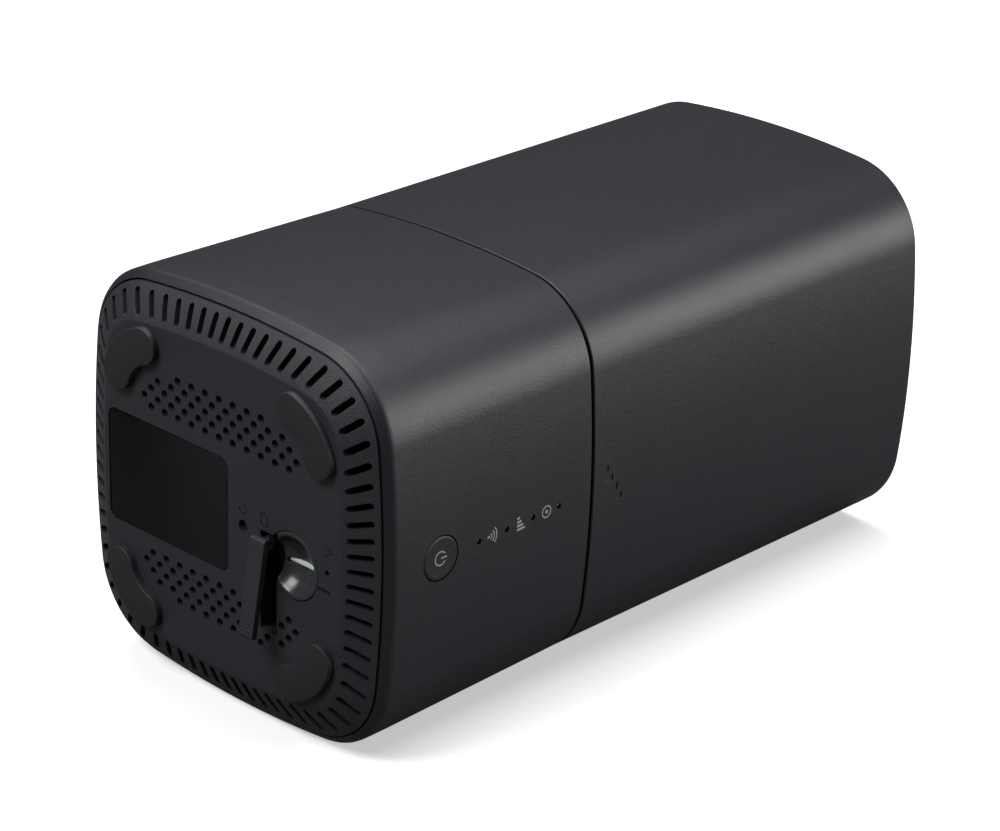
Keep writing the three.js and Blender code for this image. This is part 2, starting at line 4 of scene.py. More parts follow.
import bmesh
import bpy
from mathutils import Matrix, Vector


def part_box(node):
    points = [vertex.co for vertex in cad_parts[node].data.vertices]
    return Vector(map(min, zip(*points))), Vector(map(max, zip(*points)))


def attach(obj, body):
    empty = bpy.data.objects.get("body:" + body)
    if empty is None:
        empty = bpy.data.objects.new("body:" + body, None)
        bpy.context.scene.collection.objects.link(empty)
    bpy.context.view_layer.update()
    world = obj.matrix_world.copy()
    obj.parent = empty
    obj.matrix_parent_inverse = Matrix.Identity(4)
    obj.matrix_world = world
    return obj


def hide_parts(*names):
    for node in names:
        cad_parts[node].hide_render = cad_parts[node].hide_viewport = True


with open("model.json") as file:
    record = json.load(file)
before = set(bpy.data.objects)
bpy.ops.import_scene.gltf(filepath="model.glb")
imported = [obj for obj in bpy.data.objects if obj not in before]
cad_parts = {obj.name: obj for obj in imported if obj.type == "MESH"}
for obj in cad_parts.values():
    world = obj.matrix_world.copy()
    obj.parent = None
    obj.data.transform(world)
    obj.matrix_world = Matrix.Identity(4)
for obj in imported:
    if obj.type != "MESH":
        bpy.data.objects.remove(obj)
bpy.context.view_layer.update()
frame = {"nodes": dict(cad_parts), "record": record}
nodes = frame["nodes"]

# ---- sizes in millimetres, in the tower's own axes: x from the rim, y and z from the axis ----
MM = 0.001
HALF = 52.4  # half width at the seam
CORNER_RADIUS = 22.4
SIDE_RADIUS = 295.0
FLARE = 1.15  # the lower shell widens this much towards the base
RIM_BAND = 8.0
SEAM_X = 69.2
SEAM_GAP = 0.9
TOP_X = 197.9
WALL = 2.3
RIM_LIP = 1.2
BASE_X = -5.9  # flat face of the base cover
PLATE = 2.0
BEVEL_INSET = 11.3
SKIRT_INSET = 2.6
SIDE_STEPS = 14
CORNER_STEPS = 20
BUTTON_X = 15.7
LIGHT_XS = (28.75, 38.4, 47.7, 57.0)
PORT_OPENING = {"x0": 11.0, "x1": 53.0, "half": 28.0}
RESET = (-8.5, -0.5)
PIN_HOLE = (-37.6, -2.4)
SCREWS = [(30.5, 30.5), (-30.5, 30.5), (-30.5, -30.5), (30.5, -30.5)]
LATCH = {"y0": -38.7, "z0": -7.95, "z1": -6.85, "depth": 1.2}
LABEL_RECESS = {"y0": -3.1, "y1": 40.7, "half": 15.1, "depth": 0.8}

low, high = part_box("lower_shell")
TOWER = Matrix.Translation((low.x + RIM_LIP * MM, 0.0, (low.z + high.z) / 2)) @ Matrix.Scale(MM, 4)

SIDE_CENTRE = HALF - SIDE_RADIUS
CORNER_CENTRE = (SIDE_CENTRE + math.sqrt(2 * (SIDE_RADIUS - CORNER_RADIUS) ** 2 - SIDE_CENTRE**2)) / 2
SIDE_ANGLE = math.atan2(CORNER_CENTRE, CORNER_CENTRE - SIDE_CENTRE)


def section(inset):
    """The tower's outline in (y, z): four bulging sides and four round corners, moved in by inset."""
    points = []
    for quarter in range(4):
        turn = Matrix.Rotation(quarter * math.pi / 2, 2)
        for i in range(SIDE_STEPS):
            angle = SIDE_ANGLE * (2 * i / SIDE_STEPS - 1)
            radius = SIDE_RADIUS - inset
            points.append(turn @ Vector((SIDE_CENTRE + radius * math.cos(angle), radius * math.sin(angle))))
        for i in range(CORNER_STEPS):
            angle = SIDE_ANGLE + (math.pi / 2 - 2 * SIDE_ANGLE) * i / CORNER_STEPS
            radius = CORNER_RADIUS - inset
            spot = (CORNER_CENTRE + radius * math.cos(angle), CORNER_CENTRE + radius * math.sin(angle))
            points.append(turn @ Vector(spot))
    return points


def section_radius(inset, angle):
    """Distance from the axis to the outline along a ray at that angle."""
    ray = Vector((math.cos(angle), math.sin(angle)))
    points = section(inset)
    for a, b in zip(points, points[1:] + points[:1]):
        side_a, side_b = ray.cross(a), ray.cross(b)
        if side_a <= 0 < side_b and ray.dot(a) > 0:
            hit = a + (b - a) * (-side_a / (side_b - side_a))
            return hit.length
    return points[0].length


def side_y(x):
    """How far the middle of a side lies from the axis at x."""
    return HALF + FLARE * min(1.0, max(0.0, (SEAM_X - x) / (SEAM_X - RIM_BAND)))


# ---- mesh helpers ----
def ring(bm, x, inset):
    verts = [bm.verts.new((x, y, z)) for y, z in section(inset)]
    return [bm.edges.new(pair) for pair in zip(verts, verts[1:] + verts[:1])]


def loft(bm, stations, closed=False):
    """Bridges outlines at (x, inset) stations. closed joins the last to the first, else both ends fill."""
    rings = [ring(bm, x, inset) for x, inset in stations]
    pairs = list(zip(rings, rings[1:]))
    if closed:
        pairs.append((rings[-1], rings[0]))
    else:
        for end in (rings[0], rings[-1]):
            bmesh.ops.contextual_create(bm, geom=end)
    for a, b in pairs:
        bmesh.ops.bridge_loops(bm, edges=a + b)
    bmesh.ops.recalc_face_normals(bm, faces=bm.faces)


def arc(cx, cy, radius, start, end, steps):
    """Points of an arc in degrees, ends included."""
    angles = [math.radians(start + (end - start) * i / steps) for i in range(steps + 1)]
    return [(cx + radius * math.cos(a), cy + radius * math.sin(a)) for a in angles]


def prism(bm, outline, axis, start, end):
    """A straight block. Its outline is in (y, z) for axis 'x', in (x, z) for 'y' and in (x, y) for 'z'."""
    place = {
        "x": lambda a, b: (start, a, b),
        "y": lambda a, b: (a, start, b),
        "z": lambda a, b: (a, b, start),
    }
    face = bm.faces.new([bm.verts.new(place[axis](a, b)) for a, b in outline])
    out = bmesh.ops.extrude_face_region(bm, geom=[face])["geom"]
    moved = [v for v in out if isinstance(v, bmesh.types.BMVert)]
    shift = Vector([end - start if axis == name else 0.0 for name in "xyz"])
    bmesh.ops.translate(bm, verts=moved, vec=shift)
    faces = {touching for vert in moved for touching in vert.link_faces} | {face}
    bmesh.ops.recalc_face_normals(bm, faces=list(faces))
    return moved + list(face.verts)


def disc(bm, axis, centre, radius_a, radius_b, start, end, segments=24):
    """A cylinder or cone along 'x' or 'y' from start to end; centre holds its other two coordinates."""
    turn = Matrix.Rotation(math.pi / 2, 4, "Y") if axis == "x" else Matrix.Rotation(-math.pi / 2, 4, "X")
    middle = (start + end) / 2
    spot = (middle, centre[0], centre[1]) if axis == "x" else (centre[0], middle, centre[1])
    out = bmesh.ops.create_cone(
        bm, cap_ends=True, segments=segments, radius1=radius_a, radius2=radius_b, depth=end - start,
        matrix=Matrix.Translation(spot) @ turn,
    )
    return out["verts"]


def pill(a, b, radius, steps=8):
    """Outline of a bar with round ends centred at a and b."""
    way = math.degrees(math.atan2(b[1] - a[1], b[0] - a[0]))
    return arc(*b, radius, way - 90, way + 90, steps) + arc(*a, radius, way + 90, way + 270, steps)


def rectangle(a0, a1, b0, b1):
    return [(a0, b0), (a1, b0), (a1, b1), (a0, b1)]


def rounded_rectangle(a0, a1, b0, b1, radius, steps=5):
    r = radius
    return (
        arc(a1 - r, b1 - r, r, 0, 90, steps) + arc(a0 + r, b1 - r, r, 90, 180, steps)
        + arc(a0 + r, b0 + r, r, 180, 270, steps) + arc(a1 - r, b0 + r, r, 270, 360, steps)
    )


def finish_mesh(bm, name, material, body, smooth=35, local=None):
    """Makes the piece from a bmesh in tower millimetres and lets it ride on its body."""
    bm.transform(TOWER @ local if local else TOWER)
    mesh = bpy.data.meshes.new(name)
    bm.to_mesh(mesh)
    bm.free()
    piece = bpy.data.objects.new(name, mesh)
    bpy.context.scene.collection.objects.link(piece)
    mesh.materials.append(material)
    shade(mesh, smooth)
    if body:
        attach(piece, body)
    return piece


def shade(mesh, smooth):
    mesh.shade_smooth()
    mesh.set_sharp_from_angle(angle=math.radians(smooth))


def bake_modifiers(piece):
    mesh = bpy.data.meshes.new_from_object(piece.evaluated_get(bpy.context.evaluated_depsgraph_get()))
    piece.modifiers.clear()
    piece.data = mesh


def cut(piece, cutter_bm, edge=0.0, smooth=35, angle=50):
    """Cuts the cutter's solids out of a piece, then breaks its sharp edges by edge millimetres."""
    bmesh.ops.recalc_face_normals(cutter_bm, faces=cutter_bm.faces)
    cutter = finish_mesh(cutter_bm, "cutter", piece.data.materials[0], None)
    boolean = piece.modifiers.new("cut", "BOOLEAN")
    boolean.object = cutter
    boolean.operation = "DIFFERENCE"
    boolean.solver = "MANIFOLD"
    bake_modifiers(piece)
    shade(piece.data, smooth)
    bpy.data.objects.remove(cutter)
    if edge:
        soften(piece, edge, smooth, angle)


def soften(piece, edge, smooth, angle):
    """Breaks the edges sharper than angle by edge millimetres, and keeps the flat faces shaded flat."""
    bevel = piece.modifiers.new("edge", "BEVEL")
    bevel.width = edge * MM
    bevel.segments = 2
    bevel.limit_method = "ANGLE"
    bevel.angle_limit = math.radians(angle)
    bevel.use_clamp_overlap = True
    bake_modifiers(piece)
    shade(piece.data, smooth)
    flat = piece.modifiers.new("flat faces stay flat", "WEIGHTED_NORMAL")
    flat.keep_sharp = True
    flat.weight = 80
    bake_modifiers(piece)


# ---- materials ----
def grain_group():
    """Fine moulded grain: a height for bump and a mask for roughness."""
    group = bpy.data.node_groups.new("moulded_grain", "ShaderNodeTree")
    face = group.interface
    face.new_socket("Scale", in_out="INPUT", socket_type="NodeSocketFloat").default_value = 2600
    face.new_socket("Height", in_out="OUTPUT", socket_type="NodeSocketFloat")
    face.new_socket("Mask", in_out="OUTPUT", socket_type="NodeSocketFloat")
    add, link = group.nodes.new, group.links.new
    start, end = add("NodeGroupInput"), add("NodeGroupOutput")
    place = add("ShaderNodeTexCoord")
    fine = add("ShaderNodeTexNoise")
    fine.inputs["Detail"].default_value = 2
    fine.inputs["Roughness"].default_value = 0.7
    broad = add("ShaderNodeTexNoise")
    broad.inputs["Scale"].default_value = 55
    broad.inputs["Detail"].default_value = 4
    link(place.outputs["Object"], fine.inputs["Vector"])
    link(place.outputs["Object"], broad.inputs["Vector"])
    link(start.outputs["Scale"], fine.inputs["Scale"])
    link(fine.outputs["Fac"], end.inputs["Height"])
    link(broad.outputs["Fac"], end.inputs["Mask"])
    return group


GRAIN = grain_group()


def colour(value):
    return (*value, 1.0)


def moulded(name, dark, light, roughness, scale, bump, metallic=0.0):
    """A moulded or cast surface: colour and roughness drift slowly, and fine grain breaks the highlight."""
    material = bpy.data.materials.new(name)
    material.use_nodes = True
    tree = material.node_tree
    shader = tree.nodes["Principled BSDF"]
    grain = tree.nodes.new("ShaderNodeGroup")
    grain.node_tree = GRAIN
    grain.inputs["Scale"].default_value = scale
    mix = tree.nodes.new("ShaderNodeMix")
    mix.data_type = "RGBA"
    mix.inputs["A"].default_value = colour(dark)
    mix.inputs["B"].default_value = colour(light)
    rough = tree.nodes.new("ShaderNodeMapRange")
    rough.inputs["To Min"].default_value = roughness[0]
    rough.inputs["To Max"].default_value = roughness[1]
    bumps = tree.nodes.new("ShaderNodeBump")
    bumps.inputs["Strength"].default_value = bump
    bumps.inputs["Distance"].default_value = 0.00025
    link = tree.links.new
    link(grain.outputs["Height"], mix.inputs["Factor"])
    link(grain.outputs["Mask"], rough.inputs["Value"])
    link(mix.outputs["Result"], shader.inputs["Base Color"])
    link(rough.outputs["Result"], shader.inputs["Roughness"])
    link(grain.outputs["Height"], bumps.inputs["Height"])
    link(bumps.outputs["Normal"], shader.inputs["Normal"])
    shader.inputs["Metallic"].default_value = metallic
    return material


SHELL = moulded("charcoal_shell", (0.005, 0.0055, 0.0078), (0.023, 0.0245, 0.0315), (0.32, 0.38), 3300, 0.45)
BASE = moulded("charcoal_base", (0.004, 0.0044, 0.0062), (0.046, 0.048, 0.058), (0.40, 0.50), 2900, 0.65)
RUBBER = moulded("foot_rubber", (0.014, 0.0145, 0.017), (0.019, 0.0195, 0.023), (0.55, 0.62), 3200, 0.12)
BLACK = moulded("black_plastic", (0.006, 0.006, 0.007), (0.012, 0.012, 0.013), (0.45, 0.60), 2200, 0.20)
LABEL = moulded("blank_label", (0.0030, 0.0030, 0.0032), (0.0036, 0.0036, 0.0038), (0.30, 0.34), 900, 0.03)
LABEL.node_tree.nodes["Principled BSDF"].inputs["Specular IOR Level"].default_value = 0.15
POLISHED = moulded("polished_scoop", (0.030, 0.031, 0.035), (0.040, 0.041, 0.046), (0.20, 0.27), 900, 0.04)
PRINT = moulded("pale_print", (0.30, 0.31, 0.32), (0.36, 0.37, 0.38), (0.50, 0.60), 4000, 0.10)
CARD = moulded("card_body", (0.60, 0.70, 0.67), (0.72, 0.80, 0.78), (0.30, 0.40), 1500, 0.05)
BOARD = moulded("solder_mask", (0.008, 0.060, 0.038), (0.012, 0.085, 0.052), (0.30, 0.40), 500, 0.10)
TIN = moulded("tin_plate", (0.52, 0.53, 0.54), (0.60, 0.61, 0.62), (0.25, 0.38), 700, 0.15, metallic=1.0)
STEEL = moulded("zinc_screw", (0.40, 0.40, 0.41), (0.50, 0.50, 0.51), (0.30, 0.45), 900, 0.20, metallic=1.0)
ALUMINIUM = moulded("aluminium", (0.58, 0.59, 0.60), (0.66, 0.67, 0.68), (0.32, 0.45), 600, 0.20, metallic=1.0)
LAMINATE = moulded("antenna_laminate", (0.25, 0.18, 0.07), (0.32, 0.24, 0.10), (0.40, 0.50), 500, 0.15)
EMBOSSED = moulded("embossed_marks", (0.004, 0.004, 0.005), (0.006, 0.006, 0.007), (0.45, 0.55), 2600, 0.2)
GOLD = moulded("gold_contacts", (0.72, 0.48, 0.16), (0.80, 0.55, 0.20), (0.22, 0.34), 900, 0.05, metallic=1.0)


def painted_sheen_gradient(material, low, high, start, end):
    """Paints the base colour from low to high between two Y places in millimetres: a painted sheen that stands
    in for light across satin film.
    """
    tree = material.node_tree
    place = tree.nodes.new("ShaderNodeTexCoord")
    split = tree.nodes.new("ShaderNodeSeparateXYZ")
    span = tree.nodes.new("ShaderNodeMapRange")
    span.interpolation_type = "SMOOTHSTEP"
    span.inputs["From Min"].default_value = start * MM
    span.inputs["From Max"].default_value = end * MM
    mix = tree.nodes.new("ShaderNodeMix")
    mix.data_type = "RGBA"
    mix.inputs["A"].default_value = colour(low)
    mix.inputs["B"].default_value = colour(high)
    tree.links.new(place.outputs["Object"], split.inputs["Vector"])
    tree.links.new(split.outputs["Y"], span.inputs["Value"])
    tree.links.new(span.outputs["Result"], mix.inputs["Factor"])
    tree.links.new(mix.outputs["Result"], tree.nodes["Principled BSDF"].inputs["Base Color"])


# painted sheen: the blank label's base colour is a gradient, near black at +Y and lighter towards -Y, standing
# in for light falling across its film
painted_sheen_gradient(LABEL, (0.0012, 0.0012, 0.0012), (0.014, 0.0145, 0.0175), 38.0, -2.0)
SMOKED = moulded("smoked_lens", (0.006, 0.006, 0.007), (0.010, 0.010, 0.011), (0.12, 0.20), 900, 0.02)

for node in nodes.values():
    record_slot = next(s["material_slot"] for s in frame["record"]["subparts"] if s["node"] == node.name)
    finish = {
        "shell": SHELL, "button": SHELL, "base": BASE, "foot": RUBBER, "label": LABEL, "inner": BLACK,
        "bezel": POLISHED, "card": CARD, "tin": TIN, "screw": STEEL, "inlet": BLACK, "board": BOARD,
        "heat_sink": ALUMINIUM, "antenna": LAMINATE, "lens": SMOKED,
    }[record_slot]
    node.data.materials.clear()
    node.data.materials.append(finish)


# ---- shells ----
def rounded_edge(x, inset, dx, dinset, steps=5):
    """Stations round a quarter turn from (x, inset) to (x + dx, inset + dinset), leaving along x."""
    turns = [math.pi / 2 * i / steps for i in range(steps + 1)]
    return [(x + dx * math.sin(t), inset + dinset * (1 - math.cos(t))) for t in turns]


def bar_outlines():
    """Four bars of growing height, in (x, z), that stand for signal strength."""
    for i in range(4):
        z = 4.4 - 2.9 * i
        yield rounded_rectangle(73.5, 75.0 + 1.75 * i, z - 0.9, z + 0.9, 0.25, 2)


def upper_shell():
    start = SEAM_X + SEAM_GAP / 2
    bm = bmesh.new()
    edge = 1.4
    loft(bm, [
        (TOP_X - 2.6, WALL), (start + 0.05, WALL), (start, 0.25), (start + 0.25, 0.0),
        *[(start + 1.2 + 2 * i, 0.0) for i in range(8)], *[(90 + 10 * i, 0.0) for i in range(11)],
        (TOP_X - edge - 1, 0.0), *rounded_edge(TOP_X - edge, 0.0, edge, edge),
    ])
    piece = finish_mesh(bm, "upper_shell_smooth", SHELL, "tower")
    marks = bmesh.new()
    for outline in bar_outlines():
        prism(marks, outline, "y", -HALF - 2, -HALF + 0.4)
    cut(piece, marks, 0.06, 30)
    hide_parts("upper_shell")
    # painted shade: a thin sheet of black plastic at the floor of each engraved bar darkens the pockets as
    # shade would
    painted_bar_shade = bmesh.new()
    for outline in bar_outlines():
        prism(painted_bar_shade, outline, "y", -HALF + 0.3, -HALF + 0.6)
    finish_mesh(painted_bar_shade, "bar_mark_floor", BLACK, "tower")
    return piece


def lower_shell():
    end = SEAM_X - SEAM_GAP / 2
    bm = bmesh.new()
    rim_profile = [
        (RIM_BAND, 0.0), (1.7, 0.0), (0.9, 0.10), (0.25, 0.45), (-0.1, 0.85), (-RIM_LIP + 0.25, 1.85),
        (-RIM_LIP, 2.0), (-RIM_LIP + 0.1, WALL - 0.1), (-RIM_LIP + 0.35, WALL),
    ]
    rim = [(x, inset - FLARE) for x, inset in rim_profile]
    loft(bm, [
        (RIM_BAND, WALL - FLARE), (end - 0.05, WALL), (end, 0.25), (end - 0.25, 0.0), (end - 1.2, 0.0),
        *[(x, HALF - side_y(x)) for x in range(66, 8, -3)], *rim,
    ], closed=True)
    piece = finish_mesh(bm, "lower_shell_smooth", SHELL, "tower")
    holes = bmesh.new()
    disc(holes, "y", (BUTTON_X, 0.0), 5.9, 5.9, -60.0, -40.0, 64)
    for x in LIGHT_XS:
        disc(holes, "y", (x, 0.0), 0.78, 0.78, -60.0, -40.0, 20)
    port = rounded_rectangle(
        PORT_OPENING["x0"], PORT_OPENING["x1"], -PORT_OPENING["half"], PORT_OPENING["half"], 2.5,
    )
    prism(holes, port, "y", 60.0, 40.0)
    cut(piece, holes, 0.22, 30)
    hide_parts("lower_shell")
    return piece


upper_shell()
lower_shell()

# ---- base cover ----
BAY = {"y0": -20.25, "y1": -14.55, "z0": -25.25, "z1": 0.85}
SCOOP = (-25.8, -4.8)
SCOOP_RADIUS = 7.4
SLOTS = 72
SLOT_RADIUS = 0.86
VENT_RADIUS = 1.1
VENT_PITCH = 4.9
VENT_ROWS = [11, 12, 11, 10, 7]


def vent_centres():
    keep = VENT_RADIUS + 0.6
    for side in (1, -1):
        for row, count in enumerate(VENT_ROWS):
            for i in range(count):
                y = (i - (count - 1) / 2) * VENT_PITCH
                z = side * (19.7 + 2.45 * row)
                beside_y = y < BAY["y0"] - keep or y > BAY["y1"] + keep
                beside_z = z < BAY["z0"] - keep or z > BAY["z1"] + keep
                if beside_y or beside_z:
                    yield y, z


def bevel_profile(outer, inner, x_outer, x_inner, steps=8):
    """Stations of the slightly domed bevel between two insets."""
    for i in range(steps + 1):
        t = i / steps
        yield x_outer + (x_inner - x_outer) * (1.22 * t - 0.22 * t * t), outer + (inner - outer) * t


def latch_slot(bm, end):
    """The groove beside the scoop, from its outer end to y = end."""
    outline = rounded_rectangle(LATCH["y0"], end, LATCH["z0"], LATCH["z1"], 0.3, 2)
    prism(bm, outline, "x", BASE_X - 1, BASE_X + LATCH["depth"])


def base_cover():
    bm = bmesh.new()
    outside = list(bevel_profile(SKIRT_INSET, BEVEL_INSET, -1.5, BASE_X))
    crease = [(BASE_X + 0.05, -0.1), (BASE_X, 0.1), (BASE_X, 0.5)]
    outside[-1:] = [(x, BEVEL_INSET + step) for x, step in crease]
    inside = list(bevel_profile(SKIRT_INSET + 1.6, BEVEL_INSET + 0.6, 0.3, BASE_X + PLATE))
    skirt_end = [(4.95, SKIRT_INSET + 1.6), (5.0, SKIRT_INSET + 0.2), (4.8, SKIRT_INSET)]
    stations = inside[::-1] + skirt_end + outside
    loft(bm, [(x, inset - FLARE) for x, inset in stations])
    piece = finish_mesh(bm, "base_cover_detail", BASE, "tower")

    before, through = BASE_X - 1, BASE_X + PLATE + 1
    cuts = bmesh.new()
    for spot in vent_centres():
        disc(cuts, "x", spot, VENT_RADIUS, VENT_RADIUS, before, through, 16)
    for i in range(SLOTS):
        angle = 2 * math.pi * i / SLOTS
        ends = [section_radius(inset - FLARE, angle) for inset in (3.9 + SLOT_RADIUS, 10.2 - SLOT_RADIUS)]
        a, b = [(r * math.cos(angle), r * math.sin(angle)) for r in ends]
        prism(cuts, pill(a, b, SLOT_RADIUS), "x", before, 3.0)
    half = LABEL_RECESS["half"]
    recess = rounded_rectangle(LABEL_RECESS["y0"], LABEL_RECESS["y1"], -half, half, 2.6)
    prism(cuts, recess, "x", before, BASE_X + LABEL_RECESS["depth"])
    disc(cuts, "x", RESET, 1.6, 1.6, before, through, 24)
    disc(cuts, "x", PIN_HOLE, 0.8, 0.8, before, through, 16)
    for spot in SCREWS:
        disc(cuts, "x", spot, 2.9, 2.9, before, BASE_X + 1.45, 20)
    cut(piece, cuts)

    opening = bmesh.new()
    reach = SCOOP_RADIUS + 1.45
    disc(opening, "x", SCOOP, reach, reach, before, through, 64)
    cut(piece, opening)
    opening = bmesh.new()
    bay = rounded_rectangle(BAY["y0"], BAY["y1"], BAY["z0"], BAY["z1"], 0.4, 2)
    prism(opening, bay, "x", before, through)
    cut(piece, opening)
    opening = bmesh.new()
    latch_slot(opening, -33.0)
    cut(piece, opening, 0.12, 30, 40)
    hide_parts("base_cover")
    return piece


base_cover()

# ---- feet ----
FOOT_HEIGHT = 1.8
FOOT_OUTER = 18.75
FOOT_WIDTH = 9.4
FOOT_CENTRE = 22.0
FOOT_SWEEP = 28.0


def foot(number, sign_y, sign_z):
    middle = FOOT_OUTER - FOOT_WIDTH / 2
    start, end = 45 - FOOT_SWEEP, 45 + FOOT_SWEEP
    c = FOOT_CENTRE

    def tip(angle):
        turn = math.radians(angle)
        return c + middle * math.cos(turn), c + middle * math.sin(turn)

    outline = (
        arc(c, c, FOOT_OUTER, start, end, 20)
        + arc(*tip(end), FOOT_WIDTH / 2, end, end + 180, 18)[1:]
        + arc(c, c, FOOT_OUTER - FOOT_WIDTH, end, start, 14)[1:]
        + arc(*tip(start), FOOT_WIDTH / 2, start + 180, start + 360, 18)[1:-1]
    )
    bm = bmesh.new()
    prism(bm, [(sign_y * y, sign_z * z) for y, z in outline], "x", BASE_X - 0.02, BASE_X - FOOT_HEIGHT)
    top = [e for e in bm.edges if all(abs(v.co.x - (BASE_X - FOOT_HEIGHT)) < 1e-4 for v in e.verts)]
    bmesh.ops.bevel(bm, geom=top, offset=0.28, affect="EDGES", segments=3, profile=0.5, material=-1)
    bmesh.ops.recalc_face_normals(bm, faces=bm.faces)
    piece = finish_mesh(bm, f"foot_{number}_rubber", RUBBER, "tower", 40)
    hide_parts(f"foot_{number}")


for number, signs in enumerate([(1, 1), (-1, 1), (-1, -1), (1, -1)], start=1):
    foot(number, *signs)

# ---- small pieces ----
def turned(bm, axis, centre, stations, segments=48):
    """A turned solid from (along, radius) stations. centre holds the axis's other two coordinates."""
    profile = [(stations[0][0], 0.0), *stations, (stations[-1][0], 0.0)]
    if axis == "x":
        way, spot = Vector((1, 0, 0)), Vector((0, *centre))
        points = [(along, centre[0] + radius, centre[1]) for along, radius in profile]
    else:
        way, spot = Vector((0, 1, 0)), Vector((centre[0], 0, centre[1]))
        points = [(centre[0] + radius, along, centre[1]) for along, radius in profile]
    verts = [bm.verts.new(point) for point in points]
    edges = [bm.edges.new(pair) for pair in zip(verts, verts[1:])]
    bmesh.ops.spin(bm, geom=verts + edges, cent=spot, axis=way, angle=2 * math.pi, steps=segments)
    bmesh.ops.remove_doubles(bm, verts=bm.verts, dist=1e-4)
    bmesh.ops.recalc_face_normals(bm, faces=bm.faces)


def stroke(cx, cy, radius, start, end, width, steps=16):
    """Outline of a curved line of that width."""
    half = width / 2
    return arc(cx, cy, radius + half, start, end, steps) + arc(cx, cy, radius - half, end, start, steps)


def line(a, b, width):
    return pill(a, b, width / 2, 4)


def power_button():
    face, back = -53.41, -50.81
    bm = bmesh.new()
    dish = [(face + 0.14 - 0.14 * (r / 5.0) ** 2, r) for r in (3.0, 3.8, 4.5, 5.0)]
    turned(bm, "y", (BUTTON_X, 0.0), dish + [
        (face + 0.03, 5.28), (face + 0.12, 5.48), (face + 0.3, 5.58), (face + 0.45, 5.6), (back - 0.02, 5.6),
        (back + 0.01, 6.5), (back + 0.1, 6.6), (back + 0.72, 6.6), (back + 0.8, 6.5), (back + 0.82, 1.6),
        (-47.55, 1.6), (-47.45, 1.5),
    ], 72)
    piece = finish_mesh(bm, "power_button_dished", SHELL, "power_button")
    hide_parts("power_button")

    bm = bmesh.new()
    for outline in (stroke(15.6, 0.0, 1.75, 32, 328, 0.36, 28), line((15.9, 0.0), (17.6, 0.0), 0.36)):
        prism(bm, outline, "y", face + 0.06, face + 0.3)
    finish_mesh(bm, "power_symbol", PRINT, "power_button")


def side_prints():
    """Small printed marks beside the lights. They follow the curve of the shell; up is +X."""
    outlines = [stroke(31.9, 0.0, r, -42, 42, 0.34, 12) for r in (1.15, 2.05, 2.95)]
    outlines.append(arc(32.0, 0.0, 0.38, 0, 330, 11))
    for i in range(4):
        z = 1.5 - 1.0 * i
        outlines.append(rectangle(42.0, 42.9 + 0.62 * i, z - 0.3, z + 0.3))
    outlines += [stroke(52.5, 0.0, 1.5, 1, 181, 0.32), stroke(52.5, 0.0, 1.5, 181, 361, 0.32)]
    outlines.append(arc(52.5, 0.0, 0.5, 0, 330, 11))
    bm = bmesh.new()
    for outline in outlines:
        for vert in prism(bm, outline, "y", -0.015, 0.3):
            vert.co.y -= side_y(vert.co.x) - vert.co.z**2 / (2 * SIDE_RADIUS)
    finish_mesh(bm, "side_marks", PRINT, "tower")


def base_prints():
    """Raised line marks on the base: a reset arrow, a card and a chevron that points to the pin hole."""
    y, z = -8.4, 4.1
    arrow_head = [(y + 0.75, z + 0.1), (y + 1.65, z + 0.1), (y + 1.2, z - 0.75)]
    outlines = [stroke(y, z, 1.15, 70, 360, 0.26, 20), arrow_head]
    corners = [(-17.0, 2.4), (-14.7, 2.4), (-14.7, 5.4), (-16.1, 5.4), (-17.0, 4.6)]
    outlines += [line(a, b, 0.24) for a, b in zip(corners, corners[1:] + corners[:1])]
    outlines += [line((-36.4, 1.4), (-39.0, 3.1), 0.3), line((-39.0, 3.1), (-36.4, 4.8), 0.3)]
    bm = bmesh.new()
    for outline in outlines:
        prism(bm, outline, "x", BASE_X - 0.06, BASE_X + 0.3)
    finish_mesh(bm, "base_marks", EMBOSSED, "tower")


def label_plate():
    bm = bmesh.new()
    verts = prism(bm, rounded_rectangle(-2.8, 40.4, -14.8, 14.8, 2.3, 8), "x", -5.8, -5.4)
    rim = {e for v in verts for e in v.link_edges if all(abs(w.co.x + 5.8) < 1e-4 for w in e.verts)}
    bmesh.ops.bevel(bm, geom=list(rim), offset=0.12, affect="EDGES", segments=2, profile=0.5, material=-1)
    piece = finish_mesh(bm, "label_plate_satin", LABEL, "tower")
    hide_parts("label_plate")


PIVOT = Vector((-7.5, -17.4, -1.0))
DOOR = Matrix.Translation(PIVOT) @ Matrix.Rotation(math.radians(9.5), 4, "Y")


def sim_door():
    front, back, top, bottom, half = -2.2, -0.4, 1.5, -23.9, 2.5
    outline = (
        arc(front + 1.0, top - 1.0, 1.0, 180, 90, 8) + [(back, top), (back, bottom)]
        + arc(front + 0.5, bottom + 0.5, 0.5, 270, 180, 5)
    )
    bm = bmesh.new()
    prism(bm, outline, "y", -half, half)
    bmesh.ops.bevel(
        bm, geom=[e for e in bm.edges if all(abs(abs(v.co.y) - half) < 1e-4 for v in e.verts)],
        offset=0.28, affect="EDGES", segments=3, profile=0.5, material=-1,
    )
    piece = finish_mesh(bm, "sim_door_bar", BASE, "sim_door", 35, DOOR)
    groove = bmesh.new()
    for i in range(3):
        z = bottom + 1.5 + 1.0 * i
        outer, inner = front - 0.5, front + 0.22
        wedge = [(outer, z - 0.2), (inner, z - 0.1), (inner, z + 0.1), (outer, z + 0.2)]
        prism(groove, wedge, "y", -1.7, 1.7)
    groove.transform(DOOR)
    cut(piece, groove, 0.05, 35, 40)
    bm = bmesh.new()
    for y0 in (1.0, -2.0):
        prism(bm, arc(0, 0, 1.4, -90, 90, 14) + [(back - 0.1, 1.4), (back - 0.1, -1.4)], "y", y0, y0 + 1.0)
    finish_mesh(bm, "sim_door_lugs", BASE, "sim_door", 35, DOOR)
    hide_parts("sim_door")


